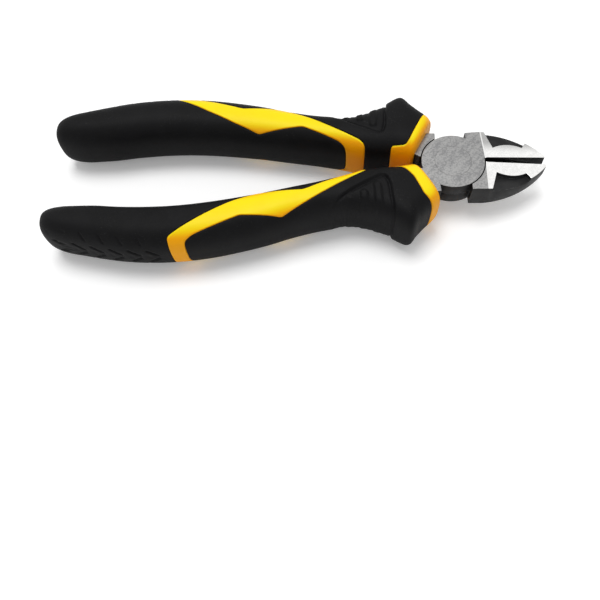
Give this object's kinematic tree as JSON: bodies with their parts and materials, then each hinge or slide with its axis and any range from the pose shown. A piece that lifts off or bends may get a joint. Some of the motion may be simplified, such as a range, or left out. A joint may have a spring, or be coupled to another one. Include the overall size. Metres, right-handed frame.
{
  "type": "diagonal side cutter",
  "caption": "Diagonal side cutter with a round riveted lap joint, a flush-ground cutting face and two-colour moulded grips with ribbed thumb guards.",
  "frame": {"origin": "centre of the bounding box at its lowest face, with the tool lying flat", "axes": "+X along the tool toward the jaw tips, +Z out of the flush face, +Y toward the upper jaw"},
  "size_m": [0.1608, 0.0582, 0.0202],
  "materials": {
    "forged_steel": "ground faces with black-oxide hollows and sides",
    "rivet_steel": "ground flush with the joint face",
    "yellow_core": "smooth moulded",
    "black_soft": "satin moulded with fine ribs"
  },
  "bodies": {
    "half_a": {"forged_half_a": "forged_steel", "pivot_rivet": "rivet_steel", "grip_core_a": "yellow_core", "rear_sleeve_a": "black_soft", "thumb_guard_a": "black_soft"},
    "half_b": {"forged_half_b": "forged_steel", "grip_core_b": "yellow_core", "rear_sleeve_b": "black_soft", "thumb_guard_b": "black_soft"}
  },
  "joints": [
    {"name": "pivot", "type": "hinge", "parent": "half_a", "child": "half_b", "pos_m": [0.05084, 0, 0.0101], "axis": [0, 0, -1], "range_deg": [-4.2, 40]}
  ]
}
